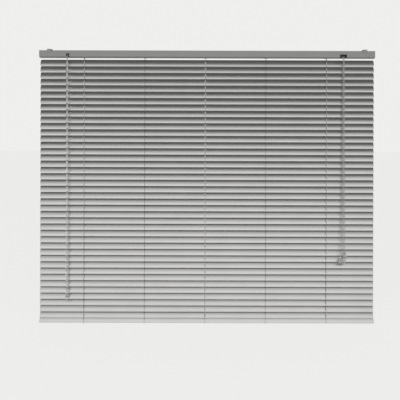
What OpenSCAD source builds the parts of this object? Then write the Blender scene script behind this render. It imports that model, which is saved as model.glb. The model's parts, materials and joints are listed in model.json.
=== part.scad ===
// Venetian blind with aluminium slats, a wand tilter and a cord lift.
// Millimetres. +X runs to the right as seen from the room, -Y faces the room, +Z is up.
// The origin is the middle of the plane that the brackets are screwed to.

/* [Blind] */
// Width of the whole blind over the headrail's end caps
blind_w = 1144; // [700:1:1300]
// Distance from each end of the blind to the ends of the slats and of the bottom rail
slat_end_gap = 2; // [1:0.5:6]

/* [Headrail] */
// Depth of the channel from the room side to the window side
headrail_d = 25; // [25:0.5:30]
// Height of the channel
headrail_h = 24; // [24:0.5:30]
// Sheet thickness of the channel
headrail_t = 0.6; // [0.4:0.1:1]
// Outer radius of the two lower edges
headrail_corner = 6; // [4:0.5:7]
// Width of each lip that is turned in at the mouth
headrail_lip = 4; // [3:0.5:4.5]
// Distance from the fixing plane to the mouth of the channel
headrail_drop = 4.5; // [4:0.5:8]
// Thickness of an end cap's flange
cap_flange = 1.2; // [0.8:0.1:2]
// Depth of an end cap's plug
cap_plug = 8; // [4:1:12]
// Wall of an end cap's plug
cap_wall = 1.4; // [1:0.1:2]

/* [Brackets] */
// Distance from each end of the blind to the middle of a bracket
bracket_inset = 34; // [24:1:60]
// Width of a bracket along the headrail
bracket_w = 14; // [10:0.5:24]
// Sheet thickness of a bracket
bracket_t = 1.2; // [0.8:0.1:1.5]
// How far a bracket's front leg covers the headrail's face
bracket_cover = 6; // [3:0.5:10]
// Reach of each claw under a lip
bracket_claw = 2.6; // [1.5:0.1:3]
// Diameter of a bracket's screw hole
bracket_hole_d = 4.2; // [3:0.1:5]

/* [Slats] */
// Number of slats
slat_count = 41; // [2:1:41]
// Width of a slat
slat_w = 25; // [24:0.5:26]
// Sheet thickness of a slat
slat_t = 0.22; // [0.18:0.01:0.3]
// Rise of a slat's middle over its edges
slat_crown = 1.8; // [1:0.1:2.2]
// Radius of a slat's plan corners
slat_corner = 4; // [2:0.5:8]
// Vertical distance from slat to slat
slat_pitch = 21.5; // [20:0.1:23]
// Distance from the headrail's underside to the first slat's axis
first_slat_gap = 17.5; // [17:0.5:30]
// Tilt of the slats as modelled, room edge down
slat_tilt = 67; // [0:1:67]
// Length of a lift slot across the slat
rout_len = 14.5; // [14:0.5:17]
// Width of a lift slot
rout_w = 3.6; // [3:0.1:6]

/* [Ladders and cords] */
// Distance from the ends of the blind to the outer ladders, as a mean of the two sides
ladder_inset = 158; // [150:1:175]
// Shift of the row of ladders from the middle
ladder_shift = -6; // [-10:1:4]
// Distance of each ladder cord from the slat's axis
ladder_reach = 14.5; // [14.5:0.1:16]
// Diameter of a ladder cord
ladder_cord_d = 0.8; // [0.6:0.1:0.9]
// Diameter of a lift cord
lift_cord_d = 1.4; // [1:0.1:1.6]
// Distance between lift cords that run side by side
lift_gap = 2.2; // [2:0.1:2.3]

/* [Tilt drive] */
// Distance from the headrail's mouth to the tilt rod's axis
rod_drop = 10; // [9.8:0.1:10.4]
// Size of the hexagonal tilt rod across its flats
rod_af = 5; // [4:0.1:5.5]
// Groove radius of a drum
drum_r = 7.5; // [6:0.1:7.6]
// Flange radius of a drum
drum_flange_r = 8.5; // [8.4:0.1:8.8]
// Width of a drum over its flanges
drum_w = 10; // [8:0.5:12]
// Radius of the journals that turn in the cradles
journal_r = 4.5; // [3.8:0.1:5]
// Thickness of a cradle's bearing walls
cradle_wall = 1.8; // [1.4:0.1:2.4]
// Distance from the left end of the blind to the tilter
tilter_inset = 97; // [80:1:115]
// Lean of the worm from upright, towards the room
worm_lean = 35; // [33:1:37]
// Teeth of the worm gear
gear_teeth = 12; // [12:1:12]
// Mean radius of the worm gear
gear_r = 4.8; // [4.7:0.05:4.9]
// Mean radius of the worm
worm_r = 2.2; // [2:0.05:2.3]
// Half of the tooth depth, of gear and worm alike
tooth = 0.5; // [0.4:0.05:0.55]
// Gap between the meshing teeth
mesh_gap = 0.35; // [0.3:0.05:0.5]
// Width of the gear's toothed rim
gear_w = 3; // [2:0.5:4]
// Radius of the worm's stem
stem_r = 1.8; // [1.4:0.1:2]
// Distance along the worm's axis from the mesh to its ring
stem_reach = 19; // [18.5:0.5:22]
// Width of the opening for the worm's stem in the headrail's lower front edge
tilter_open_w = 10; // [8:0.5:12]
// Height of that opening
tilter_open_h = 14; // [13.5:0.5:15]

/* [Wand] */
// Length of the wand from its ring to its tip
wand_len = 822; // [400:1:840]
// Size of the hexagonal wand across its flats
wand_af = 5.2; // [4:0.1:7]
// Mean radius of the linked rings
ring_r = 3; // [2.9:0.1:3.4]
// Wire radius of the linked rings
ring_wire_r = 0.7; // [0.5:0.05:0.75]
// Length of the wand's neck under its ring
neck_len = 10; // [6:1:20]
// Radius of the wand's neck
neck_r = 2; // [1.5:0.1:2.5]
// Length of the wand's end knob
knob_len = 16; // [8:1:40]
// Radius of the wand's end knob
knob_r = 3.4; // [3.1:0.1:4.5]

/* [Cord lock] */
// Distance from the right end of the blind to the middle of the cord lock
lock_inset = 108; // [90:1:120]
// Width of the cord lock
lock_w = 24; // [22:0.5:28]
// Sheet thickness of the cord lock
lock_t = 1.2; // [0.8:0.1:1.6]
// Height of the opening in the headrail's lower front edge
lock_open_h = 12; // [10:0.5:14]
// Radius of the locking roller
roller_r = 3; // [2.4:0.1:3.2]
// Radius of the locking roller's pins
roller_pin_r = 1.2; // [0.8:0.1:1.6]
// Travel of the locking roller in its slots
roller_travel = 3; // [2:0.1:4]

/* [Bottom rail] */
// Width of the bottom rail
rail_w = 25; // [24:0.5:26]
// Height of the bottom rail at its middle
rail_h = 9; // [8:0.5:9.5]
// Sheet thickness of the bottom rail
rail_t = 0.8; // [0.5:0.1:1.2]
// Radius of the bottom rail's long edges
rail_edge = 3; // [2:0.1:3.5]
// Distance from the last slat's axis to the rail's axis
rail_gap = 16.5; // [16.5:0.1:22]
// Radius of a cord plug's head
plug_head_r = 5; // [4:0.1:6]
// Radius of a cord plug's stem
plug_stem_r = 3.4; // [2.5:0.1:3.8]

/* [Tassels] */
// Length of a tassel
tassel_len = 24; // [18:0.5:25]
// Diameter of a tassel at its widest
tassel_d = 11.6; // [9:0.1:12]
// Radius of a tassel's top
tassel_top_r = 2; // [1.5:0.1:3]
// Share of a tassel's length over which it widens
tassel_shoulder = 0.8; // [0.5:0.05:1]
// Wall of a tassel at its mouth
tassel_wall = 1.5; // [1:0.1:2.5]
// Depth of a tassel's mouth
tassel_mouth = 3; // [2:0.5:6]

/* [Hidden] */
$fn = 48;
fit = 0.2;
running = 0.06;
apart = 0.3;
past = 1;
ladder_count = 5;
slat_facets = 8;
corner_facets = 4;
cord_sides = 8;
worm_len = 7;
worm_slices = 34;
worm_sides = 12;
gear_steps = 8;

silver = [0.72, 0.72, 0.71];
steel = [0.62, 0.63, 0.65];
grey_plastic = [0.6, 0.6, 0.59];
pale_plastic = [0.86, 0.86, 0.84];
dark_plastic = [0.22, 0.22, 0.22];
cord_grey = [0.74, 0.74, 0.72];
clear = [0.9, 0.92, 0.92, 0.6];

headrail_len = blind_w - 2 * cap_flange;
slat_len = blind_w - 2 * slat_end_gap;
rail_len = slat_len - 2 * cap_flange;
bracket_x = blind_w / 2 - bracket_inset;
tilter_x = tilter_inset - blind_w / 2;
lock_x = blind_w / 2 - lock_inset;
ladder_spacing = (blind_w - 2 * ladder_inset) / (ladder_count - 1);

headrail_floor = -headrail_drop - headrail_h;
rod_z = -headrail_drop - rod_drop;
slat_r = (slat_w * slat_w / 4 + slat_crown * slat_crown) / (2 * slat_crown);
slat_half_angle = asin(slat_w / 2 / slat_r);
first_slat_z = headrail_floor - first_slat_gap;
last_slat_z = first_slat_z - (slat_count - 1) * slat_pitch;
rail_z = last_slat_z - rail_gap;
rung_y = ladder_reach * cos(slat_tilt);
rung_z = ladder_reach * sin(slat_tilt);
lead_y = drum_r + ladder_cord_d / 2 + apart;
lead_exit_y = 6.2;
mouth_half = headrail_d / 2 - headrail_lip;

// Cradle sizes that follow the drum and the channel
cradle_inner = drum_w / 2 + 2 * fit;
cradle_outer = cradle_inner + cradle_wall;
cradle_base = 1.3;
cradle_half_d = 8.6;
snout_half_w = 5.5;
snout_half_d = 8;
snout_drop = 0.6;
lift_run_z = headrail_floor + headrail_t + cradle_base + lift_cord_d / 2 + 2 * apart;

// Tilter places: the worm's axis runs from the mesh towards the room and down
worm_pitch = 2 * PI * gear_r / gear_teeth;
axis_gap = gear_r + worm_r + mesh_gap;
worm_turn = 180 - worm_lean;
worm_dir = [0, -sin(worm_lean), -cos(worm_lean)];
mesh_point = [tilter_x, -axis_gap * cos(worm_lean), rod_z + axis_gap * sin(worm_lean)];
ring_point = mesh_point + stem_reach * worm_dir;
ring_hang = [0, -1, -3.4] * ring_r / 3;
wand_point = ring_point + ring_hang;
stem_top = worm_len / 2;
collar_r = worm_r + tooth + apart / 2;
collar_w = 0.8;
hub_r = 3.8;
case_half_w = 8;
case_rear = 8;

// Cord lock places
lock_floor = headrail_floor + headrail_t + fit;
lock_top = -headrail_drop - 8;
lock_half_d = headrail_d / 2 - headrail_t - 1;
cord_low_z = lift_run_z - lift_cord_d / 2;
roller_y = -3.5;
roller_z = lift_run_z + lift_cord_d / 2 + apart + roller_r;
roller_dir = [0, sin(45), sin(45)];
lip_bar_r = 0.9;
lip_bar_y = -10;
exit_y = -8.8;
bend_r = 4;

// Pull cords from the lock's exit to the tops of their tassels: chosen points, with X from the lock's middle
pull_routes = [
    [
        [-2.2, -9, -25.2], [-2.2, -11.4, -25.4], [-2.3, -13.4, -26.4], [-2.4, -14.7, -28.4],
        [-2.5, -15.2, -31], [-2.6, -15.5, -40], [-3, -16, -80], [-3.4, -16.4, -140],
        [-3.8, -16.8, -200], [-4.4, -17.2, -260], [-5, -17.6, -320], [-5.6, -18, -380],
        [-6.3, -18.4, -440], [-7.2, -18.9, -500], [-8.2, -19.4, -560], [-9.5, -20, -620],
        [-10.6, -20.5, -670], [-11.4, -21, -710]
    ],
    [
        [0, -9, -25.2], [0, -11.4, -25.4], [0, -13.4, -26.4], [0, -14.7, -28.4],
        [0, -15.2, -31], [0, -15.5, -40], [0, -16, -80], [-0.1, -16.6, -140],
        [-0.2, -17.3, -200], [-0.3, -18, -260], [-0.4, -18.7, -320], [-0.4, -19.4, -380],
        [-0.4, -20.2, -440], [-0.4, -21.2, -500], [-0.3, -22.3, -560], [-0.2, -23.5, -620],
        [0, -24.6, -670], [0.3, -25.3, -710]
    ],
    [
        [2.2, -9, -25.2], [2.2, -11.4, -25.4], [2.3, -13.4, -26.4], [2.4, -14.7, -28.4],
        [2.5, -15.2, -31], [2.6, -15.5, -40], [2.7, -15.9, -80], [2.9, -16.2, -140],
        [3.1, -16.5, -200], [3.3, -16.8, -260], [3.5, -17.1, -320], [3.7, -17.4, -380],
        [3.9, -17.8, -440], [4.1, -18.2, -500], [4.3, -18.6, -560], [4.4, -19, -620],
        [4.5, -19.4, -664], [4.5, -19.5, -684]
    ]
];

function two_digits(n) = str(n < 10 ? "0" : "", n);
function slat_name(i) = str("slat_", two_digits(i + 1));
function slat_z(i) = first_slat_z - i * slat_pitch;
function ladder_x(i) = ladder_shift + (i - (ladder_count - 1) / 2) * ladder_spacing;

// Sets a side view (Y, Z) along X, centred
module along_x(length) {
    rotate([90, 0, 90])
        linear_extrude(length, center = true)
            children();
}

// Puts a shape that is drawn about +Z onto the worm's axis, with the mesh point at its origin
module on_worm_axis() {
    translate(mesh_point)
        rotate([worm_turn, 0, 0])
            children();
}

// Cord swept through its route with rings square to the run
function unit(v) = v / norm(v);
function run_at(route, i) =
    unit(route[min(i + 1, len(route) - 1)] - route[max(i - 1, 0)]);
function ring_at(route, i, r) =
    let (
        away = [-0.5, 0.62, -0.6],
        run = run_at(route, i),
        side = unit(cross(run, away)),
        up = cross(run, side)
    )
    [for (k = [0 : cord_sides - 1])
        route[i] + r * (cos(360 * k / cord_sides) * side + sin(360 * k / cord_sides) * up)];

module cord(route, d) {
    rings = len(route);
    n = cord_sides;
    points = [for (i = [0 : rings - 1]) each ring_at(route, i, d / 2)];
    walls = [for (i = [0 : rings - 2], k = [0 : n - 1])
        [i * n + k, i * n + (k + 1) % n, (i + 1) * n + (k + 1) % n, (i + 1) * n + k]];
    first_end = [for (k = [n - 1 : -1 : 0]) k];
    last_end = [for (k = [0 : n - 1]) (rings - 1) * n + k];
    polyhedron(points, concat([first_end], walls, [last_end]));
}

// Outline of the channel, drawn in by an inset, with its mouth at the top
module channel_outline(inset, top_inset) {
    half = headrail_d / 2 - inset;
    r = headrail_corner - inset;
    low = -headrail_h + inset;
    translate([-half, low + r])
        square([2 * half, headrail_h - inset - r - top_inset]);
    translate([r - half, low])
        square([2 * (half - r), 2 * r]);
    for (s = [-1, 1])
        translate([s * (half - r), low + r])
            circle(r);
}

module channel_section() {
    difference() {
        channel_outline(0, 0);
        channel_outline(headrail_t, headrail_t);
        translate([-mouth_half, -2 * headrail_t])
            square([2 * mouth_half, 3 * headrail_t]);
    }
}

// Space inside the channel that a fitting may fill, over a length along X
module channel_room(x, length) {
    translate([x, 0, -headrail_drop])
        along_x(length)
            channel_outline(headrail_t + fit, headrail_t + fit);
}

module headrail() {
    color(silver)
        difference() {
            translate([0, 0, -headrail_drop])
                along_x(headrail_len)
                    channel_section();
            for (i = [0 : ladder_count - 1])
                translate([ladder_x(i), 0, headrail_floor])
                    cube([2 * (snout_half_w + fit), 2 * (snout_half_d + fit), headrail_corner], center = true);
            front_opening(tilter_x, tilter_open_w, tilter_open_h);
            front_opening(lock_x, lock_w, lock_open_h);
        }
}

// Cut through the headrail's lower front edge
module front_opening(x, width, height) {
    translate([x - width / 2, -headrail_d / 2 - past, headrail_floor - past])
        cube([width, headrail_corner + past, height + past]);
}

module end_cap() {
    plug_x = -cap_plug / 2;
    translate([cap_flange / 2, 0, -headrail_drop])
        along_x(cap_flange)
            channel_outline(0, 0);
    translate([plug_x, 0, -headrail_drop])
        along_x(cap_plug)
            difference() {
                channel_outline(headrail_t + fit / 2, headrail_t + fit / 2);
                channel_outline(headrail_t + cap_wall, headrail_t + cap_wall);
            }
}

module headrail_end_caps() {
    color(grey_plastic)
        for (s = [0, 1])
            mirror([s, 0, 0])
                translate([headrail_len / 2, 0, 0])
                    end_cap();
}

// Side view of a clip bracket: top plate, front leg and a claw under each lip
module bracket_section() {
    leg_y = headrail_d / 2 + apart;
    lip_low = -headrail_drop - headrail_t - fit;
    claw_y = mouth_half - apart - bracket_t;
    translate([-leg_y - bracket_t, -bracket_t])
        square([2 * leg_y + bracket_t, bracket_t]);
    translate([-leg_y - bracket_t, -headrail_drop - bracket_cover])
        square([bracket_t, headrail_drop + bracket_cover]);
    for (s = [0, 1])
        mirror([s, 0]) {
            translate([claw_y, lip_low - bracket_t])
                square([bracket_t, -lip_low + bracket_t]);
            translate([claw_y, lip_low - bracket_t])
                square([bracket_t + apart + bracket_claw, bracket_t]);
        }
}

module mounting_brackets() {
    color(steel)
        for (s = [-1, 1])
            translate([s * bracket_x, 0, 0])
                difference() {
                    along_x(bracket_w)
                        bracket_section();
                    translate([0, 0, -2 * bracket_t])
                        cylinder(h = 3 * bracket_t, d = bracket_hole_d);
                }
}

module hex_bar(length, af) {
    rotate([0, 90, 0])
        cylinder(h = length, d = af / cos(30), $fn = 6, center = true);
}

module round_bar(length, r) {
    rotate([0, 90, 0])
        cylinder(h = length, r = r, center = true);
}

module drum() {
    flange_w = 1.5;
    round_bar(drum_w, drum_r);
    for (s = [-1, 1])
        translate([s * (drum_w - flange_w) / 2, 0, 0])
            round_bar(flange_w, drum_flange_r);
    round_bar(2 * cradle_outer, journal_r);
}

module tilt_rod() {
    rod_left = tilter_x - case_half_w - 6;
    rod_right = ladder_x(ladder_count - 1) + cradle_outer + 8;
    color(steel)
        translate([0, 0, rod_z]) {
            translate([(rod_left + rod_right) / 2, 0, 0])
                hex_bar(rod_right - rod_left, rod_af);
            for (i = [0 : ladder_count - 1])
                translate([ladder_x(i), 0, 0])
                    drum();
        }
}

// Cradle that carries a drum's journals and lets the cords through the channel's floor
module cradle() {
    low = headrail_floor + headrail_t;
    base_top = low + cradle_base;
    window_h = lift_cord_d + 4 * apart;
    translate([-snout_half_w, -snout_half_d, headrail_floor - snout_drop])
        cube([2 * snout_half_w, 2 * snout_half_d, headrail_t + fit + snout_drop + cradle_base / 2]);
    intersection() {
        channel_room(0, 3 * cradle_outer);
        union() {
            translate([-cradle_outer, -cradle_half_d, low])
                cube([2 * cradle_outer, 2 * cradle_half_d, cradle_base]);
            for (s = [-1, 1])
                difference() {
                    translate([s * (cradle_inner + cradle_wall / 2), 0, (low + rod_z) / 2])
                        cube([cradle_wall, 2 * cradle_half_d, rod_z - low], center = true);
                    translate([s * (cradle_inner + cradle_wall / 2), 0, rod_z])
                        round_bar(2 * cradle_wall, journal_r + running);
                    translate([s * (cradle_inner + cradle_wall / 2), lift_gap, base_top + window_h / 2])
                        cube([2 * cradle_wall, 4 * lift_gap, window_h], center = true);
                }
        }
    }
}

module drum_cradles() {
    slot_w = 3;
    slot_d = 3.6;
    color(grey_plastic)
        for (i = [0 : ladder_count - 1])
            translate([ladder_x(i), 0, 0])
                difference() {
                    cradle();
                    for (s = [-1, 1])
                        translate([0, s * (lead_exit_y + apart), headrail_floor])
                            cube([slot_w, slot_d, 4 * cradle_base], center = true);
                    translate([0, 0, headrail_floor])
                        cube([4 * lift_cord_d, 2 * lift_cord_d, 4 * cradle_base], center = true);
                }
}

module tilter_housing() {
    worm_room_r = worm_r + tooth + apart;
    gear_room_r = gear_r + tooth + apart;
    room_w = gear_w + 2 * apart;
    bearing_end = stem_top + collar_w + 2;
    mouth_half_d = 6;
    color(dark_plastic)
        difference() {
            intersection() {
                channel_room(tilter_x, 2 * case_half_w);
                translate([tilter_x - case_half_w, -headrail_d, headrail_floor])
                    cube([2 * case_half_w, headrail_d + case_rear, headrail_h]);
            }
            translate([tilter_x, 0, rod_z]) {
                round_bar(room_w, gear_room_r);
                round_bar(3 * case_half_w, hub_r + running);
            }
            on_worm_axis() {
                translate([0, 0, -stem_top - apart])
                    cylinder(h = worm_len + collar_w + 2 * apart, r = worm_room_r);
                cylinder(h = stem_reach, r = stem_r + running);
                translate([-tilter_open_w / 2, -mouth_half_d, bearing_end])
                    cube([tilter_open_w, 2 * mouth_half_d, stem_reach]);
            }
        }
}

module tilter_worm() {
    ring_foot = stem_reach - ring_r;
    start_angle = 270 - 360 * stem_top / worm_pitch;
    color(steel)
        on_worm_axis() {
            translate([0, 0, -stem_top])
                rotate(start_angle)
                    linear_extrude(
                        worm_len, twist = -360 * worm_len / worm_pitch, slices = worm_slices, $fn = worm_sides
                    )
                        translate([tooth, 0])
                            circle(worm_r);
            translate([0, 0, stem_top - apart])
                cylinder(h = collar_w + apart, r = collar_r);
            translate([0, 0, stem_top])
                cylinder(h = ring_foot - stem_top, r = stem_r);
            translate([0, 0, stem_reach])
                rotate([90, 0, 0])
                    link_ring();
        }
}

// Ring of round wire about Z
module link_ring() {
    rotate_extrude()
        translate([ring_r, 0])
            circle(ring_wire_r, $fn = 24);
}

function gear_edge(a) = gear_r - tooth * cos(gear_teeth * a);

module tilter_gear() {
    steps = gear_teeth * gear_steps;
    color(pale_plastic)
        translate([tilter_x, 0, rod_z])
            difference() {
                union() {
                    along_x(gear_w)
                        rotate(worm_turn)
                            polygon([for (k = [0 : steps - 1])
                                gear_edge(360 * k / steps) * [cos(360 * k / steps), sin(360 * k / steps)]]);
                    round_bar(2 * case_half_w, hub_r);
                }
                hex_bar(3 * case_half_w, rod_af + running);
            }
}

module cord_lock() {
    side_x = (lock_w - lock_t) / 2 - fit;
    color(dark_plastic)
        difference() {
            intersection() {
                channel_room(lock_x, lock_w - 2 * fit);
                translate([lock_x, 0, 0])
                    lock_walls();
            }
            for (s = [-1, 1])
                translate([lock_x + s * side_x, roller_y, roller_z])
                    roller_slot();
            translate([lock_x - side_x, lift_gap, lift_run_z])
                cube([3 * lock_t, 4 * lift_gap, lift_cord_d + 2 * apart], center = true);
        }
}

// Slot along which a roller pin runs in a side wall
module roller_slot() {
    rotate([45, 0, 0]) {
        round_bar(3 * lock_t, roller_pin_r + running);
        translate([0, roller_travel, 0])
            round_bar(3 * lock_t, roller_pin_r + running);
        translate([0, roller_travel / 2, 0])
            cube([3 * lock_t, roller_travel, 2 * (roller_pin_r + running)], center = true);
    }
}

// Floor, side walls, back wall, cord post and front lip bar of the lock
module lock_walls() {
    height = lock_top - lock_floor;
    inner_w = lock_w - 2 * lock_t;
    post_r = bend_r - lift_cord_d / 2 - apart;
    bar_z = cord_low_z - apart - lip_bar_r;
    translate([-lock_w / 2, -lock_half_d, lock_floor])
        cube([lock_w, 2 * lock_half_d, lock_t]);
    for (s = [-1, 1])
        translate([s * (lock_w - 2 * fit - lock_t) / 2, 0, lock_floor + height / 2])
            cube([lock_t, 2 * lock_half_d, height], center = true);
    translate([-inner_w / 2 - fit, lock_half_d - lock_t, lock_floor])
        cube([inner_w + 2 * fit, lock_t, height]);
    translate([-lift_gap - bend_r, -bend_r, lock_floor])
        cylinder(h = lift_run_z + lift_cord_d / 2 - lock_floor, r = post_r);
    translate([0, lip_bar_y, bar_z])
        round_bar(inner_w + 2 * fit, lip_bar_r);
}

module lock_roller() {
    side_gap = 2 * apart;
    color(steel)
        translate([lock_x, roller_y, roller_z]) {
            round_bar(lock_w - 2 * lock_t - 2 * fit - side_gap, roller_r);
            round_bar(lock_w - 2 * fit, roller_pin_r);
        }
}

// Vertical run of a ladder cord from the first slat's rung to the last one's
module ladder_run(x, y, shift_z) {
    tail = 1;
    translate([x, y, last_slat_z + shift_z - tail])
        cylinder(h = first_slat_z - last_slat_z + tail, d = ladder_cord_d, $fn = cord_sides);
}

module ladder_front_cords() {
    color(cord_grey)
        for (i = [0 : ladder_count - 1])
            ladder_run(ladder_x(i), -rung_y, -rung_z);
}

module ladder_rear_cords() {
    color(cord_grey)
        for (i = [0 : ladder_count - 1])
            ladder_run(ladder_x(i), rung_y, rung_z);
}

// Leads of the ladder cords from the drums to the first slat's rung
module ladder_leads() {
    color(cord_grey)
        for (i = [0 : ladder_count - 1], s = [-1, 1])
            cord(
                [
                    [ladder_x(i), s * lead_y, rod_z],
                    [ladder_x(i), s * lead_exit_y, headrail_floor],
                    [ladder_x(i), s * rung_y, first_slat_z + s * rung_z + apart]
                ],
                ladder_cord_d
            );
}

// Held run of lift cord k, from the bottom rail up into the headrail and along it to the lock
function lift_route(k) =
    let (
        x = ladder_x(2 * k),
        lane = (2 - k) * lift_gap,
        exit_x = lock_x + (1 - k) * lift_gap,
        z = lift_run_z,
        turn = lift_cord_d
    )
    concat(
        [
            [x, 0, rail_z + rail_h / 2 / cos(slat_tilt) + apart],
            [x, 0, z - 2 * turn],
            [x + 0.3 * turn, 0, z - turn],
            [x + turn, 0, z - 0.3 * turn],
            [x + 2 * turn, 0, z],
            [x + 12, lane, z],
            [exit_x - 2 * bend_r, lane, z]
        ],
        [for (a = [90 : -30 : 0])
            [exit_x - bend_r + bend_r * cos(a), lane - bend_r + bend_r * sin(a), z]],
        [[exit_x, exit_y, z]]
    );

module lift_cords() {
    color(cord_grey)
        for (k = [0 : 2])
            cord(lift_route(k), lift_cord_d);
}

module pull_cords() {
    color(cord_grey)
        translate([lock_x, 0, 0])
            for (route = pull_routes)
                cord(route, lift_cord_d);
}

// Outline of the bottom rail: round long edges and a crowned top
module rail_outline(inset) {
    half = rail_w / 2 - inset;
    r = rail_edge - inset;
    low = -rail_h / 2 + inset;
    crown_r = slat_r - inset;
    intersection() {
        union() {
            translate([-half, low + r])
                square([2 * half, rail_h]);
            translate([r - half, low])
                square([2 * (half - r), rail_h]);
            for (s = [-1, 1])
                translate([s * (half - r), low + r])
                    circle(r);
        }
        translate([0, rail_h / 2 - slat_r])
            circle(crown_r, $fn = 96);
    }
}

module on_rail() {
    translate([0, 0, rail_z])
        rotate([slat_tilt, 0, 0])
            children();
}

module bottom_rail() {
    color(silver)
        on_rail()
            difference() {
                along_x(rail_len)
                    difference() {
                        rail_outline(0);
                        rail_outline(rail_t);
                    }
                for (i = [0 : ladder_count - 1])
                    translate([ladder_x(i), 0, -rail_h / 2 - past])
                        cylinder(h = rail_t + 2 * past, r = plug_stem_r + running);
            }
}

module rail_end_cap() {
    plug_len = 6;
    translate([cap_flange / 2, 0, 0])
        along_x(cap_flange)
            rail_outline(0);
    translate([-plug_len / 2, 0, 0])
        along_x(plug_len)
            rail_outline(rail_t + fit / 2);
}

module cord_plug() {
    head_h = 1.4;
    stem_h = 3;
    translate([0, 0, -rail_h / 2 - head_h])
        cylinder(h = head_h, r = plug_head_r);
    translate([0, 0, -rail_h / 2 - head_h])
        cylinder(h = head_h + stem_h, r = plug_stem_r);
}

module bottom_rail_fittings() {
    color(grey_plastic)
        on_rail() {
            for (s = [0, 1])
                mirror([s, 0, 0])
                    translate([rail_len / 2, 0, 0])
                        rail_end_cap();
            for (i = [0 : ladder_count - 1])
                translate([ladder_x(i), 0, 0])
                    cord_plug();
        }
}

module wand() {
    color(clear)
        translate(wand_point) {
            rotate([0, 90, 0])
                link_ring();
            translate([0, 0, -ring_r - neck_len])
                cylinder(h = neck_len, r = neck_r);
            translate([0, 0, -wand_len + knob_len])
                cylinder(h = wand_len - knob_len - ring_r - neck_len, d = wand_af / cos(30), $fn = 6);
            translate([0, 0, -wand_len])
                cylinder(h = knob_len, r = knob_r);
        }
}

// Bell-shaped tassel hanging from its top at the origin, hollow at its mouth
function bell_r(share) = tassel_top_r + (tassel_d / 2 - tassel_top_r) * sin(90 * min(1, share / tassel_shoulder));
module tassel() {
    steps = 10;
    bell = [for (k = [0 : steps]) [bell_r(k / steps), -tassel_len * k / steps]];
    rotate_extrude()
        difference() {
            polygon(concat([[0, -tassel_len], [0, 0]], bell));
            translate([0, -tassel_len - past])
                square([tassel_d / 2 - tassel_wall, tassel_mouth + past]);
        }
}

module tassels() {
    color(grey_plastic)
        translate([lock_x, 0, 0])
            for (route = pull_routes)
                translate(route[len(route) - 1])
                    tassel();
}

// Cross section of a slat on its crown's arc, edges on the axis
module slat_section() {
    step = 2 * slat_half_angle / slat_facets;
    polygon(concat(
        [for (k = [0 : slat_facets])
            let (a = slat_half_angle - k * step)
            [slat_r * sin(a), slat_crown - slat_r + slat_r * cos(a)]],
        [for (k = [0 : slat_facets])
            let (a = k * step - slat_half_angle)
            [(slat_r - slat_t) * sin(a), slat_crown - slat_r + (slat_r - slat_t) * cos(a)]]
    ));
}

// Rectangle with round corners, all of its rounds drawn as short flats
function round_corner(x, y, r, quarter) =
    [for (k = [0 : corner_facets])
        let (a = 90 * (quarter + k / corner_facets))
        [x + r * cos(a), y + r * sin(a)]];
module round_rectangle(length, width, r) {
    x = length / 2 - r;
    y = width / 2 - r;
    polygon(concat(
        round_corner(x, y, r, 0), round_corner(-x, y, r, 1),
        round_corner(-x, -y, r, 2), round_corner(x, -y, r, 3)
    ));
}

module slat(i) {
    depth = 2 * slat_crown + 2 * past;
    color(silver)
        translate([0, 0, slat_z(i)])
            rotate([slat_tilt, 0, 0])
                intersection() {
                    along_x(slat_len + 2 * past)
                        slat_section();
                    translate([0, 0, -past])
                        linear_extrude(depth)
                            difference() {
                                round_rectangle(slat_len, slat_w + fit, slat_corner);
                                for (k = [0 : 2])
                                    translate([ladder_x(2 * k), 0])
                                        round_rectangle(rout_w, rout_len, 0.48 * rout_w);
                            }
                }
}

headrail();
headrail_end_caps();
mounting_brackets();
tilt_rod();
drum_cradles();
tilter_housing();
tilter_worm();
tilter_gear();
cord_lock();
lock_roller();
ladder_front_cords();
ladder_rear_cords();
ladder_leads();
lift_cords();
bottom_rail();
bottom_rail_fittings();
wand();
pull_cords();
tassels();
for (i = [0 : slat_count - 1]) slat(i);
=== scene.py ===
import json
import math
import bpy
from mathutils import Matrix, Vector


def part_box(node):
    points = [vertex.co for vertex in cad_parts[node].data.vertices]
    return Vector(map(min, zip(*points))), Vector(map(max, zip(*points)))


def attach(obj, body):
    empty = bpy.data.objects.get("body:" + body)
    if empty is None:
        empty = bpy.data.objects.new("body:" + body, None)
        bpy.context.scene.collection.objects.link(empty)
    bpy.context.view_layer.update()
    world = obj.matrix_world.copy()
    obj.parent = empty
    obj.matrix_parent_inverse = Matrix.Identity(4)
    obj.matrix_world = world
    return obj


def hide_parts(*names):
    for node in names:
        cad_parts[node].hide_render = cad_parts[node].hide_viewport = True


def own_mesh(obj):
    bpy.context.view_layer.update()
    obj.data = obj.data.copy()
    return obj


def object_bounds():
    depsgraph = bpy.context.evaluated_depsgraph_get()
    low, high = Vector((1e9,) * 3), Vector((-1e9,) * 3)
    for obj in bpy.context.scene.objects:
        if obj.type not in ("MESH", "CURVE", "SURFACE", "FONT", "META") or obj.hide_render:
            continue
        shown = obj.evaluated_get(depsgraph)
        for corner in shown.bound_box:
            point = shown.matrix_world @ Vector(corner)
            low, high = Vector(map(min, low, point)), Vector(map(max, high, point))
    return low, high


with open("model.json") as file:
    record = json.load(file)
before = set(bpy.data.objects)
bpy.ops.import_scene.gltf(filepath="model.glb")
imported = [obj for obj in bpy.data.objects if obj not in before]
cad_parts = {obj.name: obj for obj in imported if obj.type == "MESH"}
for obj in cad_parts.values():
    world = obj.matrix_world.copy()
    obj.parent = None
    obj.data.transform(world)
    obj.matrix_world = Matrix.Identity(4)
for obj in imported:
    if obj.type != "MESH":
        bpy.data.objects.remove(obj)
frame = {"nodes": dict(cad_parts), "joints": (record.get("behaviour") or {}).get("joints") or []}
cad_low, cad_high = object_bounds()

# Sizes that the frame gives, in metres

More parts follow.
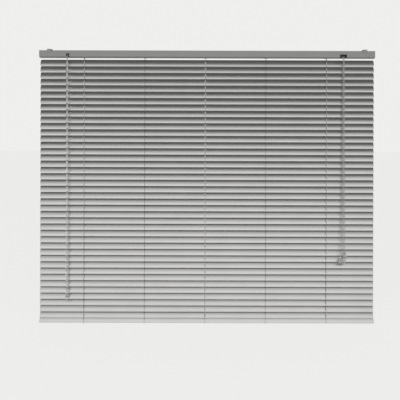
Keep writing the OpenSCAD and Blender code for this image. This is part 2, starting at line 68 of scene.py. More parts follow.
joints = {joint["name"]: joint for joint in frame["joints"]}
slat_names = sorted(name for name in frame["nodes"] if name.startswith("slat_"))
slat_axes = {name: Vector(joints[name + "_tilt"]["pos_m"]) for name in slat_names}
first_axis = slat_axes[slat_names[0]]
rail_axis = Vector(joints["bottom_rail_tilt"]["pos_m"])
rod_z = joints["tilt_shaft_turn"]["pos_m"][2]
wand_top = Vector(joints["wand_spin"]["pos_m"])

front_low, front_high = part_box("ladder_front_cords")
LADDER_R = (front_high.y - front_low.y) / 2
LADDER_COUNT = 5
ladder_left = front_low.x + LADDER_R
ladder_step = (front_high.x - front_low.x - 2 * LADDER_R) / (LADDER_COUNT - 1)
ladder_xs = [ladder_left + i * ladder_step for i in range(LADDER_COUNT)]
rung_y = -(front_low.y + front_high.y) / 2
rung_z = first_axis.z - front_high.z
rung_reach = math.hypot(rung_y, rung_z)
slat_tilt = math.atan2(rung_z, rung_y)
slat_len = 2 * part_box(slat_names[0])[1].x
headrail_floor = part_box("headrail")[0].z
lock_x = sum(corner.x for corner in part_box("cord_lock")) / 2
wand_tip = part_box("wand")[0].z

# Sizes that repeat the part's own

SLAT_W = 0.025
SLAT_T = 0.00022
SLAT_CROWN = 0.0018
SLAT_CORNER = 0.004
SLOT_LEN = 0.0145
SLOT_W = 0.0036
SLOT_END = 0.48 * SLOT_W
CORD_D = 0.0014
RAIL_H = 0.009
PLUG_R = 0.005
TASSEL_LEN = 0.024
TASSEL_R = 0.0058
TASSEL_TOP_R = 0.002
TASSEL_SHOULDER = 0.8
TASSEL_WALL = 0.0015
TASSEL_MOUTH = 0.003
WAND_AF = 0.0052
RING_R = 0.003
RING_WIRE_R = 0.0007
NECK_LEN = 0.01
NECK_R = 0.002
KNOB_LEN = 0.016
KNOB_R = 0.0034

# Camera, placed from the photo's square frame

FRAME_PX = 400
SENSOR_MM = 36
PX_PER_M = 292.0
ORIGIN_PX = (207.0, 49.9)
VANISH_PX = (216.0, 140.0)
CAMERA_BACK = 2.02
CAMERA_ROLL = math.radians(-0.15)


def make_camera():
    data = bpy.data.cameras.new("camera")
    data.sensor_width = SENSOR_MM
    data.lens = SENSOR_MM * PX_PER_M * CAMERA_BACK / FRAME_PX
    data.shift_x = 0.5 - VANISH_PX[0] / FRAME_PX
    data.shift_y = VANISH_PX[1] / FRAME_PX - 0.5
    camera = bpy.data.objects.new("camera", data)
    bpy.context.scene.collection.objects.link(camera)
    side = (VANISH_PX[0] - ORIGIN_PX[0]) / PX_PER_M
    drop = (VANISH_PX[1] - ORIGIN_PX[1]) / PX_PER_M
    camera.location = (side, -CAMERA_BACK, -drop)
    camera.rotation_euler = (math.pi / 2, CAMERA_ROLL, 0)
    bpy.context.scene.camera = camera


make_camera()

# Materials

FINE_DETAIL = 4
BROAD_SCALE = 14
BROAD_DETAIL = 3
# The stretch of a noise that holds most of its values
NOISE_LOW = 0.35
NOISE_HIGH = 0.65
BUMP_DEPTH = 0.0002
# Braided strands, with their lean in radians, and the painted shade in the grooves between their
# tops
STRAND_LEAN = 0.6
STRAND_SCALE = 420.0
STRAND_WAVER = 0.6
STRAND_LOW = 0.2
STRAND_HIGH = 1.0
# Painted shade: how dark the grooves between the strands are, as a share of the cord's grey
GROOVE_PAINTED_SHADE = 0.6
STRAND_BUMP = 0.5


def add_node(tree, kind, settings=None, inputs=None):
    """Adds a shader node with its settings and the values of its sockets."""
    node = tree.nodes.new(kind)
    for key, value in (settings or {}).items():
        setattr(node, key, value)
    for key, value in (inputs or {}).items():
        node.inputs[key].default_value = value
    return node


def new_material(name, sockets):
    made = bpy.data.materials.new(name)
    made.use_nodes = True
    shader = made.node_tree.nodes["Principled BSDF"]
    for key, value in sockets.items():
        shader.inputs[key].default_value = value
    return made, made.node_tree, shader


def grey(value, warmth):
    """Linear grey, a little warmer for a positive warmth."""
    return (value * (1 + warmth), value, value * (1 - 2 * warmth), 1)


def piece_coords(tree, stretch):
    """Object coordinates, shifted by the piece's place and drawn out along an axis."""
    coords = add_node(tree, "ShaderNodeTexCoord")
    info = add_node(tree, "ShaderNodeObjectInfo")
    shifted = add_node(tree, "ShaderNodeVectorMath", {"operation": "ADD"})
    tree.links.new(coords.outputs["Object"], shifted.inputs[0])
    tree.links.new(info.outputs["Location"], shifted.inputs[1])
    mapping = add_node(tree, "ShaderNodeMapping", inputs={"Scale": stretch})
    tree.links.new(shifted.outputs["Vector"], mapping.inputs["Vector"])
    return shifted.outputs["Vector"], mapping.outputs["Vector"]


def noise(tree, vector, scale, detail):
    node = add_node(tree, "ShaderNodeTexNoise", inputs={"Scale": scale, "Detail": detail})
    tree.links.new(vector, node.inputs["Vector"])
    return node.outputs["Fac"]


def mean(tree, first, second):
    halved = add_node(tree, "ShaderNodeMath", {"operation": "MULTIPLY"}, {1: 0.5})
    tree.links.new(second, halved.inputs[0])
    both = add_node(tree, "ShaderNodeMath", {"operation": "MULTIPLY_ADD"}, {1: 0.5})
    tree.links.new(first, both.inputs[0])
    tree.links.new(halved.outputs["Value"], both.inputs[2])
    return both.outputs["Value"]


def either(tree, first, second):
    node = add_node(tree, "ShaderNodeMath", {"operation": "MAXIMUM"})
    tree.links.new(first, node.inputs[0])
    tree.links.new(second, node.inputs[1])
    return node.outputs["Value"]


def ramp(tree, fac, low, high, dark, light):
    """Colours between two greys, over a stretch of the factor."""
    node = add_node(tree, "ShaderNodeValToRGB")
    node.color_ramp.elements[0].position = low
    node.color_ramp.elements[0].color = dark
    node.color_ramp.elements[1].position = high
    node.color_ramp.elements[1].color = light
    tree.links.new(fac, node.inputs["Fac"])
    return node.outputs["Color"]


def spread(tree, fac, low, high):
    node = add_node(tree, "ShaderNodeMapRange", inputs={"To Min": low, "To Max": high})
    tree.links.new(fac, node.inputs["Value"])
    return node.outputs["Result"]


def add_bump(tree, shader, height, strength):
    node = add_node(tree, "ShaderNodeBump", inputs={"Strength": strength, "Distance": BUMP_DEPTH})
    tree.links.new(height, node.inputs["Height"])
    tree.links.new(node.outputs["Normal"], shader.inputs["Normal"])


def grained(name, value, warmth, contrast, rough, grain, stretch, bump, sockets):
    """A finish with fine grain drawn out along the stretch, and broad mottling under it."""
    made, tree, shader = new_material(name, sockets)
    plain, drawn = piece_coords(tree, stretch)
    fine = noise(tree, drawn, grain, FINE_DETAIL)
    broad = noise(tree, plain, BROAD_SCALE, BROAD_DETAIL)
    dark = grey(value * (1 - contrast), warmth)
    light = grey(value * (1 + contrast), warmth)
    colour = ramp(tree, mean(tree, fine, broad), NOISE_LOW, NOISE_HIGH, dark, light)
    tree.links.new(colour, shader.inputs["Base Color"])
    tree.links.new(spread(tree, fine, *rough), shader.inputs["Roughness"])
    add_bump(tree, shader, fine, bump)
    return made


def braided(name, value, warmth, sockets):
    """Braided cord: two crossing sets of strands, lighter on their tops, with painted shade in the
    grooves between them.
    """
    made, tree, shader = new_material(name, sockets)
    coords = add_node(tree, "ShaderNodeTexCoord")
    strands = []
    for lean in (-STRAND_LEAN, STRAND_LEAN):
        mapping = add_node(tree, "ShaderNodeMapping", inputs={"Rotation": (lean, lean, 0)})
        tree.links.new(coords.outputs["Object"], mapping.inputs["Vector"])
        wave = add_node(tree, "ShaderNodeTexWave", {"bands_direction": "Z"},
                        {"Scale": STRAND_SCALE, "Distortion": STRAND_WAVER})
        tree.links.new(mapping.outputs["Vector"], wave.inputs["Vector"])
        strands.append(wave.outputs["Fac"])
    top = either(tree, strands[0], strands[1])
    # Painted shade in the grooves between the strands, full grey on their tops
    dark, light = grey(GROOVE_PAINTED_SHADE * value, warmth), grey(value, warmth)
    colour = ramp(tree, top, STRAND_LOW, STRAND_HIGH, dark, light)
    tree.links.new(colour, shader.inputs["Base Color"])
    add_bump(tree, shader, top, STRAND_BUMP)
    return made


# How the grain is drawn out: along a rolled strip, along an upright rod, or not at all
ROLL_LINES = (0.02, 1, 1)
ROD_LINES = (1, 1, 0.05)
EVEN = (1, 1, 1)
ACRYLIC_IOR = 1.49

slat_silver = grained(
    "slat_silver", value=0.46, warmth=0.004, contrast=0.035, rough=(0.24, 0.34),
    grain=700, stretch=ROLL_LINES, bump=0.06, sockets={"Metallic": 1.0})
# Darker than the slats' silver: partly the headrail's own paint, partly painted shade over the
# headrail
painted_silver = grained(
    "painted_silver", value=0.31, warmth=0.003, contrast=0.04, rough=(0.58, 0.68),
    grain=600, stretch=ROLL_LINES, bump=0.06, sockets={"Metallic": 1.0})
zinc_steel = grained(
    "zinc_steel", value=0.5, warmth=-0.006, contrast=0.16, rough=(0.26, 0.46),
    grain=260, stretch=EVEN, bump=0.1, sockets={"Metallic": 0.9})
grey_plastic = grained(
    "grey_plastic", value=0.36, warmth=0.004, contrast=0.05, rough=(0.42, 0.58),
    grain=900, stretch=EVEN, bump=0.12, sockets={})
pale_plastic = grained(
    "pale_plastic", value=0.74, warmth=0.01, contrast=0.03, rough=(0.4, 0.55),
    grain=900, stretch=EVEN, bump=0.1, sockets={})
tassel_plastic = grained(
    "tassel_plastic", value=0.86, warmth=0.003, contrast=0.05, rough=(0.22, 0.34),
    grain=500, stretch=EVEN, bump=0.05,
    sockets={"Transmission Weight": 0.8, "IOR": ACRYLIC_IOR})
clear_plastic = grained(
    "clear_plastic", value=0.9, warmth=0.0, contrast=0.02, rough=(0.04, 0.12),
    grain=300, stretch=ROD_LINES, bump=0.05,
    sockets={"Transmission Weight": 0.92, "IOR": ACRYLIC_IOR})
# Near black, as painted shade: the tilter housing and the cord lock take it so that their openings
# look as dark as the shade in them
dark_plastic = grained(
    "dark_plastic", value=0.06, warmth=0.0, contrast=0.1, rough=(0.4, 0.6),
    grain=700, stretch=EVEN, bump=0.1, sockets={})
dull_zinc = grained(
    "dull_zinc", value=0.26, warmth=-0.01, contrast=0.14, rough=(0.42, 0.58),
    grain=260, stretch=EVEN, bump=0.1, sockets={"Metallic": 0.7})
# Near black steel, as painted shade: the lock roller takes it so that no light bar shows across
# the lock's dark opening
painted_shade_steel = grained(
    "painted_shade_steel", value=0.1, warmth=-0.01, contrast=0.14, rough=(0.4, 0.55),
    grain=260, stretch=EVEN, bump=0.1, sockets={"Metallic": 0.8})
ladder_cord = braided(
    "ladder_cord", value=0.2, warmth=0.006, sockets={"Roughness": 0.85, "Sheen Weight": 0.2})
lift_cord = braided(
    "lift_cord", value=0.48, warmth=0.006, sockets={"Roughness": 0.8, "Sheen Weight": 0.2})

# Meshes

CORD_SIDES = 12
SHARP_EDGE = math.radians(40)


class Shape:
    """Vertices and faces gathered from several solids into one mesh."""

    def __init__(self):
        self.points = []
        self.faces = []

    def add(self, points, faces):
        base = len(self.points)
        self.points += [Vector(p) for p in points]
        self.faces += [[base + i for i in face] for face in faces]

    def rings(self, rings, joined=False):
        """Skin over rings of equal count, closed at both ends or joined end to end."""
        count = len(rings[0])
        points = [p for ring in rings for p in ring]
        total = len(points)
        ends = [list(range(count))[::-1], [total - count + k for k in range(count)]]
        faces = [] if joined else ends
        for i in range(len(rings) if joined else len(rings) - 1):
            for k in range(count):
                a, b = i * count + k, i * count + (k + 1) % count
                faces.append([a, b, (b + count) % total, (a + count) % total])
        self.add(points, faces)

    def tube(self, path, radius, sides=CORD_SIDES):
        """Round bar along a path that stays about upright or about level."""
        path = [Vector(p) for p in path]
        run = (path[-1] - path[0]).normalized()
        aside = Vector((1, 0, 0)) if abs(run.x) < 0.7 else Vector((0, 1, 0))
        rings = []
        for i, p in enumerate(path):
            along = (path[min(i + 1, len(path) - 1)] - path[max(i - 1, 0)]).normalized()
            u = along.cross(aside).normalized()
            v = along.cross(u)
            turns = [2 * math.pi * k / sides for k in range(sides)]
            rings.append([p + radius * (math.cos(a) * u + math.sin(a) * v) for a in turns])
        self.rings(rings)

    def lathe(self, profile, place, sides=32):
        """Solid of revolution about Z, from (radius, height) pairs that go up on its outside."""
        turns = [2 * math.pi * k / sides for k in range(sides)]
        place = Vector(place)
        self.rings([[place + Vector((r * math.cos(a), r * math.sin(a), z)) for a in turns]
                    for r, z in profile])

    def bead(self, place, radius, height, sides=8, steps=6):
        """Round lump of a radius and a half height."""
        profile = []
        for i in range(1, steps):
            a = math.pi * (i / steps - 0.5)
            profile.append((radius * math.cos(a), height * math.sin(a)))
        self.lathe(profile, place, sides)

    def mesh(self, name, material):
        made = bpy.data.meshes.new(name)
        made.from_pydata(self.points, [], self.faces)
        made.validate()
        made.polygons.foreach_set("use_smooth", [True] * len(made.polygons))
        made.set_sharp_from_angle(angle=SHARP_EDGE)
        made.materials.append(material)
        return made


def put(name, mesh, body, matrix=None):
    """Places a mesh as a piece that rides on a body."""
    made = bpy.data.objects.new(name, mesh)
    bpy.context.scene.collection.objects.link(made)
    if matrix is not None:
        made.matrix_world = matrix
    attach(made, body)
    return made


def tilted(axis):
    """From a slat's own frame, with its axis along X, to its place at rest."""
    return Matrix.Translation(axis) @ Matrix.Rotation(slat_tilt, 4, "X")


# Pull cords and tassels. Chosen points with X from the lock's middle, in metres.

PULL_ROUTES = {
    "left": [
        (-0.0022, -0.009, -0.0252), (-0.0022, -0.0114, -0.0254), (-0.0023, -0.0134, -0.0264),
        (-0.0024, -0.0147, -0.0284), (-0.0025, -0.0152, -0.031), (-0.0026, -0.0155, -0.04),
        (-0.0026, -0.016, -0.08), (-0.0025, -0.0164, -0.14), (-0.0024, -0.0168, -0.2),
        (-0.0024, -0.0172, -0.26), (-0.0025, -0.0176, -0.32), (-0.0027, -0.018, -0.38),
        (-0.0031, -0.0184, -0.44), (-0.0038, -0.0189, -0.5), (-0.005, -0.0194, -0.56),
        (-0.0068, -0.02, -0.62), (-0.0088, -0.0205, -0.665), (-0.0108, -0.021, -0.7015)],
    "middle": [
        (0, -0.009, -0.0252), (0, -0.0114, -0.0254), (0, -0.0134, -0.0264),
        (0, -0.0147, -0.0284), (0, -0.0152, -0.031), (0, -0.0155, -0.04),
        (0, -0.016, -0.08), (-0.0001, -0.0166, -0.14), (-0.0002, -0.0173, -0.2),
        (-0.0003, -0.018, -0.26), (-0.0004, -0.0187, -0.32), (-0.0004, -0.0194, -0.38),
        (-0.0004, -0.0202, -0.44), (-0.0004, -0.0212, -0.5), (-0.0003, -0.0223, -0.56),
        (-0.0002, -0.0235, -0.62), (0, -0.0246, -0.665), (0.0003, -0.0253, -0.7015)],
    "right": [
        (0.0022, -0.009, -0.0252), (0.0022, -0.0114, -0.0254), (0.0023, -0.0134, -0.0264),
        (0.0024, -0.0147, -0.0284), (0.0025, -0.0152, -0.031), (0.0026, -0.0155, -0.04),
        (0.0027, -0.0159, -0.08), (0.0029, -0.0162, -0.14), (0.0031, -0.0165, -0.2),
        (0.0033, -0.0168, -0.26), (0.0035, -0.0171, -0.32), (0.0037, -0.0174, -0.38),
        (0.0039, -0.0178, -0.44), (0.0041, -0.0182, -0.5), (0.0043, -0.0186, -0.56),
        (0.0044, -0.019, -0.62), (0.0045, -0.0194, -0.664), (0.0045, -0.0195, -0.684)],
}


def pull_cord(name, route):
    data = bpy.data.curves.new(name, "CURVE")
    data.dimensions = "3D"
    data.bevel_depth = CORD_D / 2
    data.bevel_resolution = 4
    data.resolution_u = 6
    data.use_fill_caps = True
    spline = data.splines.new("BEZIER")
    spline.bezier_points.add(len(route) - 1)
    for point, place in zip(spline.bezier_points, route):
        point.co = place
        point.handle_left_type = point.handle_right_type = "AUTO"
    data.materials.append(lift_cord)
    made = bpy.data.objects.new(name, data)
    bpy.context.scene.collection.objects.link(made)
    return made


TASSEL_STEPS = 24
TASSEL_SIDES = 40
# Rounding of a tassel's top, as (share of its radius, height), and of its rim, as (out, up)
TASSEL_TOP_EDGE = (0.6, 0.0003)
TASSEL_RIM_DROP = 0.0001
TASSEL_RIM_EDGE = (0.0003, 0.0004)
END_KNOT_R = 0.0019
END_KNOT_HALF_H = 0.0016


def bell_r(share):
    """Radius of a tassel at a share of its length."""
    turn = math.pi / 2 * min(1, share / TASSEL_SHOULDER)
    return TASSEL_TOP_R + (TASSEL_R - TASSEL_TOP_R) * math.sin(turn)


def tassel_mesh():
    """Bell with a rolled rim, a hollow mouth and a bead of knot in it, hanging from its top."""
    shape = Shape()
    top = [(TASSEL_TOP_R * TASSEL_TOP_EDGE[0], TASSEL_TOP_EDGE[1])]
    shares = [k / TASSEL_STEPS for k in range(TASSEL_STEPS + 1)]
    outside = [(bell_r(share), -TASSEL_LEN * share) for share in shares]
    rim = -TASSEL_LEN - TASSEL_RIM_DROP
    inner = TASSEL_R - TASSEL_WALL
    mouth = TASSEL_MOUTH - TASSEL_LEN
    inside = [(inner + TASSEL_RIM_EDGE[0], rim), (inner, rim + TASSEL_RIM_EDGE[1]), (inner, mouth)]
    profile = top + outside + inside
    shape.lathe(profile[::-1], (0, 0, 0), TASSEL_SIDES)
    shape.bead((0, 0, mouth), END_KNOT_R, END_KNOT_HALF_H, sides=12, steps=8)
    return shape.mesh("tassel", tassel_plastic)


tassel = tassel_mesh()
for side, offsets in PULL_ROUTES.items():
    route = [Vector((lock_x + x, y, z)) for x, y, z in offsets]
    cord = pull_cord("pull_cord_" + side, route)
    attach(cord, "headrail")
    bell = put("tassel_" + side, tassel, "headrail",
               Matrix.Translation(route[-1]))
    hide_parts("pull_cords")
    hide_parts("tassels")

# Slats

# How far the plain lines across a slat keep from its slots and ends
SLAT_CLEAR = 0.006


def quarter_turn(start, radius, steps):
    return [start + radius * math.sin(math.pi / 2 * k / steps) for k in range(steps + 1)]


def round_off(beyond, radius):
    """How far a round corner stands back, at a distance beyond its start."""
    return 0 if beyond <= 0 else radius - math.sqrt(max(0, radius ** 2 - beyond ** 2))


def slat_rows():
    """Places across a slat, closer together at the ends of its slots and at its corners."""
    slot_straight = SLOT_LEN / 2 - SLOT_END
    middle = [slot_straight * k / 3 for k in range(3)]
    slot_end = quarter_turn(slot_straight, SLOT_END, steps=4)
    corner = quarter_turn(SLAT_W / 2 - SLAT_CORNER, SLAT_CORNER, steps=6)
    half = middle + slot_end + corner
    return [-y for y in reversed(half[1:])] + half


def end_inset(y):
    return round_off(abs(y) - (SLAT_W / 2 - SLAT_CORNER), SLAT_CORNER)


def slot_half_w(y):
    beyond = min(abs(y), SLOT_LEN / 2) - (SLOT_LEN / 2 - SLOT_END)
    return SLOT_W / 2 - round_off(beyond, SLOT_END)


def slat_columns():
    """Lines along a slat as (place, how much the end curve, how much the slot curve shifts it)."""
    end = slat_len / 2
    columns = [(-end, 1, 0), (SLAT_CLEAR - end, 0, 0)]
    for x in ladder_xs[::2]:
        columns += [(x - SLAT_CLEAR, 0, 0), (x, 0, -1), (x, 0, 1), (x + SLAT_CLEAR, 0, 0)]
    return columns + [(end - SLAT_CLEAR, 0, 0), (end, -1, 0)]


def slat_mesh():
    """Crowned strip with round corners and lift slots, of even thickness."""
    rows, columns = slat_rows(), slat_columns()
    arc_r = (SLAT_W ** 2 / 4 + SLAT_CROWN ** 2) / (2 * SLAT_CROWN)
    top, under = [], []
    for x, end, slot in columns:
        for y in rows:
            height = SLAT_CROWN - arc_r + math.sqrt(arc_r ** 2 - y ** 2)
            place = Vector((x + end * end_inset(y) + slot * slot_half_w(y), y, height))
            up = (place - Vector((place.x, 0, SLAT_CROWN - arc_r))).normalized()
            top.append(place)
            under.append(place - SLAT_T * up)
    count = len(rows)
    faces = []
    for i in range(len(columns) - 1):
        for j in range(count - 1):
            in_slot = columns[i][2] == -1 and abs(rows[j] + rows[j + 1]) / 2 < SLOT_LEN / 2
            if not in_slot:
                a = i * count + j
                faces.append([a, a + count, a + count + 1, a + 1])
    edges = {(face[k], face[(k + 1) % 4]) for face in faces for k in range(4)}
    below = len(top)
    walls = [[b, a, a + below, b + below] for a, b in edges if (b, a) not in edges]
    lower = [[below + i for i in reversed(face)] for face in faces]
    shape = Shape()
    shape.add(top + under, faces + lower + sorted(walls))
    return shape.mesh("slat", slat_silver)


RUNG_R = 0.00026
RUNG_SPLIT = 0.0012
RUNG_BEND = 0.001
RUNG_SIDES = 8


def rung_mesh():
    """Two threads at each ladder, from the front cord under the slat to the rear cord."""
    shape = Shape()
    edge = SLAT_W / 2 + RUNG_R
    low = -SLAT_T - RUNG_R
    for x in ladder_xs:
        for side in (-1, 1):
            across = x + side * RUNG_SPLIT
            path = [(x, -rung_reach, 0), (across, -edge, low / 2), (across, RUNG_BEND - edge, low),
                    (across, edge - RUNG_BEND, low), (across, edge, low / 2), (x, rung_reach, 0)]
            shape.tube(path, RUNG_R, RUNG_SIDES)
    return shape.mesh("rungs", ladder_cord)


slat = slat_mesh()
rungs = rung_mesh()
for name, axis in slat_axes.items():
    strip = put(name + "_strip", slat, name, tilted(axis))
    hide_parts(name)
    put(name + "_rungs", rungs, name, tilted(axis))

# Ladder cords

KNOT_R = 1.35 * LADDER_R
KNOT_HALF_H = 0.0011
KNOT_CLEAR = 1.2 * KNOT_R
LEAD_R = 0.98 * LADDER_R
LEAD_DROP = 0.001
LEAD_END = headrail_floor - LEAD_DROP
# How far the leads spread at the headrail's floor, and how soon under it they hang upright
LEAD_SPREAD = 0.0004
LEAD_UPRIGHT = LEAD_END + 0.0001
# Just over the first knot, with the front cord at its lowest
top_low = first_axis.z - rung_z + KNOT_CLEAR
# From the last rung to the rail's edge, as (outward, upward) steps
RAIL_LINK = [
    (0, 0), (0.0001, -0.00255), (0.00065, -0.00565), (0.001, -0.00705), (0.0017, -0.01005),
    (0.00225, -0.01345), (0.0021, -0.01475), (0.0013, -0.0156), (0.0005, -0.016)]


def ladder_run(name, side):
    """Upright cords on one side of the slats, knotted at each rung, down to the rail's edge."""
    shape = Shape()
    y = side * rung_y
    rungs_z = [axis.z + side * rung_z for axis in slat_axes.values()]
    for x in ladder_xs:
        link = [(x, y + side * out, rungs_z[-1] + up) for out, up in RAIL_LINK]
        shape.tube([(x, y, rungs_z[0] + KNOT_R)] + link, LADDER_R)
        for z in rungs_z:
            shape.bead((x, y, z), KNOT_R, KNOT_HALF_H)
    return shape.mesh(name, ladder_cord)


front = put("ladder_front_runs", ladder_run("ladder_front_runs", -1), "ladder_front")
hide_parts("ladder_front_cords")
rear = put("ladder_rear_runs", ladder_run("ladder_rear_runs", 1), "ladder_rear")
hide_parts("ladder_rear_cords")


def lead_mesh():
    """Cords from the drums through the headrail's floor, at the rear down to the first rung."""
    shape = Shape()
    drum_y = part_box("ladder_leads")[1].y - LADDER_R
    exit_y = rung_y + LEAD_SPREAD
    half_way = ((drum_y + exit_y) / 2, (rod_z + headrail_floor) / 2)
    for x in ladder_xs:
        for side, end in ((-1, LEAD_END), (1, top_low)):
            path = [(drum_y, rod_z), half_way, (exit_y, headrail_floor),
                    (rung_y, LEAD_UPRIGHT), (rung_y, end)]
            shape.tube([(x, side * y, z) for y, z in path], LEAD_R)
    return shape.mesh("ladder_leads_cords", ladder_cord)


leads = put("ladder_leads_cords", lead_mesh(), "headrail")
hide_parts("ladder_leads")


def top_mesh():
    """Front cords between the headrail and the first rung, which the drums draw up."""
    shape = Shape()
    for x in ladder_xs:
        shape.tube([(x, -rung_y, LEAD_END), (x, -rung_y, top_low)], LADDER_R)
    return shape.mesh("ladder_front_tops", ladder_cord)


tops = put("ladder_front_tops", top_mesh(), "headrail")
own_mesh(tops)


def tail_mesh():
    """Ends of the ladders, drawn round the bottom rail's edges to the plugs underneath."""
    shape = Shape()
    under = -RAIL_H / 2 - LADDER_R
    edge = SLAT_W / 2
    # Chosen points as (outward, upward) from the rail's middle
    path = [(rung_reach, 0), (edge + 0.0012, -0.0012), (edge + 0.0004, -0.003),
            (edge - 0.0012, under + 0.0002), (edge - 0.003, under), (PLUG_R, under)]
    for x in ladder_xs:
        for side in (-1, 1):
            shape.tube([(x, side * y, z) for y, z in path], LADDER_R)
    return shape.mesh("ladder_tails", ladder_cord)


put("ladder_tails", tail_mesh(), "bottom_rail", tilted(rail_axis))

# Wand

WAND_EDGE_R = 0.0006
# Ends of the rod, as (share of its section, length of the taper)
ROD_TOP = (0.72, 0.0012)
ROD_FOOT = (0.9, 0.001)
# Profiles as (share of the radius, height)
KNOB = [(0.6, 0), (0.92, 0.0005), (1, 0.0014), (1, 0.0125), (0.94, 0.0142), (0.8, KNOB_LEN)]
FERRULE = [
    (0.8, -0.001), (1, -0.0004), (1, 0.0068), (0.86, 0.0074), (0.86, NECK_LEN),
    (0.5, NECK_LEN + 0.0004)]
BAND = [(1, 0), (1.03, 0.0002), (1.03, 0.0022), (1, 0.0024)]
BAND_UP = 0.0095
RING_STEPS = 32
WIRE_SIDES = 12


def hexagon(across_flats, edge_r, steps=4):
    """Corners of a hexagon with round edges, as (x, y) pairs."""
    corner_r = across_flats / math.sqrt(3) - edge_r * 2 / math.sqrt(3)
    points = []
    for k in range(6):
        middle = math.pi / 3 * k
        for s in range(steps + 1):
            turn = middle + math.pi / 3 * (s / steps - 0.5)
            points.append((corner_r * math.cos(middle) + edge_r * math.cos(turn),
                           corner_r * math.sin(middle) + edge_r * math.sin(turn)))
    return points


def wand_rod_mesh():
    """Clear hexagonal rod with a short waist at its top and a round knob at its foot."""
    shape = Shape()
    outline = hexagon(WAND_AF, WAND_EDGE_R)
    top = wand_top.z - RING_R - NECK_LEN
    foot = wand_tip + KNOB_LEN
    levels = [(foot, ROD_FOOT[0]), (foot + ROD_FOOT[1], 1),
              (top - ROD_TOP[1], 1), (top, ROD_TOP[0])]
    shape.rings([[Vector((wand_top.x + share * x, wand_top.y + share * y, z)) for x, y in outline]
                 for z, share in levels])
    shape.lathe([(KNOB_R * r, z) for r, z in KNOB], (wand_top.x, wand_top.y, wand_tip))
    return shape.mesh("wand_rod", clear_plastic)


def wand_hook_mesh():
    """Ring of round wire and the ferrule that holds it to the rod."""
    shape = Shape()
    aside = Vector((1, 0, 0))
    turns = [2 * math.pi * k / WIRE_SIDES for k in range(WIRE_SIDES)]
    rings = []
    for i in range(RING_STEPS):
        a = 2 * math.pi * i / RING_STEPS
        out = Vector((0, math.cos(a), math.sin(a)))
        middle = wand_top + RING_R * out
        rings.append([middle + RING_WIRE_R * (math.cos(b) * out - math.sin(b) * aside)
                      for b in turns])
    shape.rings(rings, joined=True)
    low = wand_top.z - RING_R - NECK_LEN
    shape.lathe([(NECK_R * r, z) for r, z in FERRULE], (wand_top.x, wand_top.y, low))
    return shape.mesh("wand_hook", zinc_steel)


def wand_band_mesh():
    """Grey band round the wand's knob."""
    shape = Shape()
    shape.lathe([(KNOB_R * r, z) for r, z in BAND], (wand_top.x, wand_top.y, wand_tip + BAND_UP))
    return shape.mesh("wand_band", grey_plastic)


rod = put("wand_rod", wand_rod_mesh(), "wand")
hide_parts("wand")
put("wand_hook", wand_hook_mesh(), "wand")
put("wand_band", wand_band_mesh(), "wand")

# Finishes of the pieces that keep their own solids

FINISHES = {
    # The headrail's silver is darkened in part as painted shade
    "headrail": painted_silver,
    "headrail_end_caps": grey_plastic,
    "mounting_brackets": dull_zinc,
    "tilt_rod": zinc_steel,
    "drum_cradles": grey_plastic,
    # Painted shade: the tilter housing is near black for the shade in its opening
    "tilter_housing": dark_plastic,
    "tilter_worm": zinc_steel,
    "tilter_gear": pale_plastic,
    # Painted shade: the cord lock is near black for the shade in its opening
    "cord_lock": dark_plastic,
    # Painted shade: the lock roller is near black so that the lock's opening stays dark
    "lock_roller": painted_shade_steel,
    "lift_cords": lift_cord,
    "bottom_rail": slat_silver,
    "bottom_rail_fittings": grey_plastic,
}
for name, finish in FINISHES.items():
    frame["nodes"][name].data.materials.clear()
    frame["nodes"][name].data.materials.append(finish)

# Floor, surroundings and light

FLOOR_GAP = 0.004
FLOOR_HALF = 30.0
FLOOR_GREY = (0.88, 0.88, 0.87, 1)
FLOOR_ROUGH = 0.9
SEEN_PALE = (1, 1, 0.99, 1)
FLOOR_SHARE = 0.76
WALL_LEVEL = 0.86
# Heights on the unit sphere between which the room goes from pale to dim
WALL_TOP = 0.28
CEILING_START = 0.62
CEILING_LEVEL = 0.18
KEY_PLACE = (-0.2, -2.6, 0.45)
KEY_SIZE = (4.5, 2.7)
KEY_POWER = 26


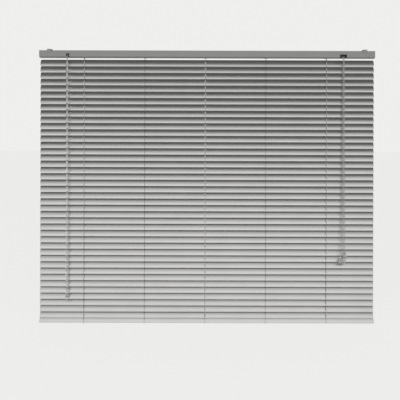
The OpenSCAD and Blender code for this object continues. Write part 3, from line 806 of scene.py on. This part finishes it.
def make_floor():
    """Pale floor just under the bottom rail, which keeps the part's shadow."""
    sockets = {"Base Color": FLOOR_GREY, "Roughness": FLOOR_ROUGH}
    made, tree, shader = new_material("stage_pale", sockets)
    rays = add_node(tree, "ShaderNodeLightPath").outputs
    clear_or_camera = either(tree, rays["Is Camera Ray"], rays["Is Transmission Ray"])
    seen = either(tree, clear_or_camera, rays["Is Glossy Ray"])
    share = add_node(tree, "ShaderNodeMath", {"operation": "MULTIPLY"}, {1: FLOOR_SHARE})
    tree.links.new(seen, share.inputs[0])
    glow = add_node(tree, "ShaderNodeEmission", inputs={"Color": SEEN_PALE})
    mix = add_node(tree, "ShaderNodeMixShader")
    tree.links.new(share.outputs["Value"], mix.inputs["Fac"])
    tree.links.new(shader.outputs["BSDF"], mix.inputs[1])
    tree.links.new(glow.outputs["Emission"], mix.inputs[2])
    tree.links.new(mix.outputs["Shader"], tree.nodes["Material Output"].inputs["Surface"])
    z = cad_low.z - FLOOR_GAP
    corners = [(-1, -1), (1, -1), (1, 1), (-1, 1)]
    shape = Shape()
    shape.add([(FLOOR_HALF * x, FLOOR_HALF * y, z) for x, y in corners], [[0, 1, 2, 3]])
    floor = bpy.data.objects.new("stage_floor", shape.mesh("stage_floor", made))
    bpy.context.scene.collection.objects.link(floor)


def make_world():
    """Pale room all round, dim overhead."""
    world = bpy.data.worlds.new("studio")
    bpy.context.scene.world = world
    world.use_nodes = True
    tree = world.node_tree
    coords = add_node(tree, "ShaderNodeTexCoord")
    split = add_node(tree, "ShaderNodeSeparateXYZ")
    tree.links.new(coords.outputs["Generated"], split.inputs["Vector"])
    room = add_node(tree, "ShaderNodeMapRange", inputs={
        "From Min": WALL_TOP, "From Max": CEILING_START,
        "To Min": WALL_LEVEL, "To Max": CEILING_LEVEL})
    tree.links.new(split.outputs["Z"], room.inputs["Value"])
    background = tree.nodes["Background"]
    background.inputs["Color"].default_value = SEEN_PALE
    tree.links.new(room.outputs["Result"], background.inputs["Strength"])


def area_light(name, place, aim, size, power):
    data = bpy.data.lights.new(name, "AREA")
    data.shape = "RECTANGLE"
    data.size, data.size_y = size
    data.energy = power
    made = bpy.data.objects.new(name, data)
    bpy.context.scene.collection.objects.link(made)
    made.location = place
    made.rotation_euler = (Vector(aim) - Vector(place)).to_track_quat("-Z", "Y").to_euler()
    made.visible_camera = False


def make_lamps():
    middle = (0, 0, (cad_low.z + cad_high.z) / 2)
    area_light("key", KEY_PLACE, middle, KEY_SIZE, KEY_POWER)


make_floor()
make_world()
make_lamps()
bpy.context.scene.view_settings.view_transform = "Standard"
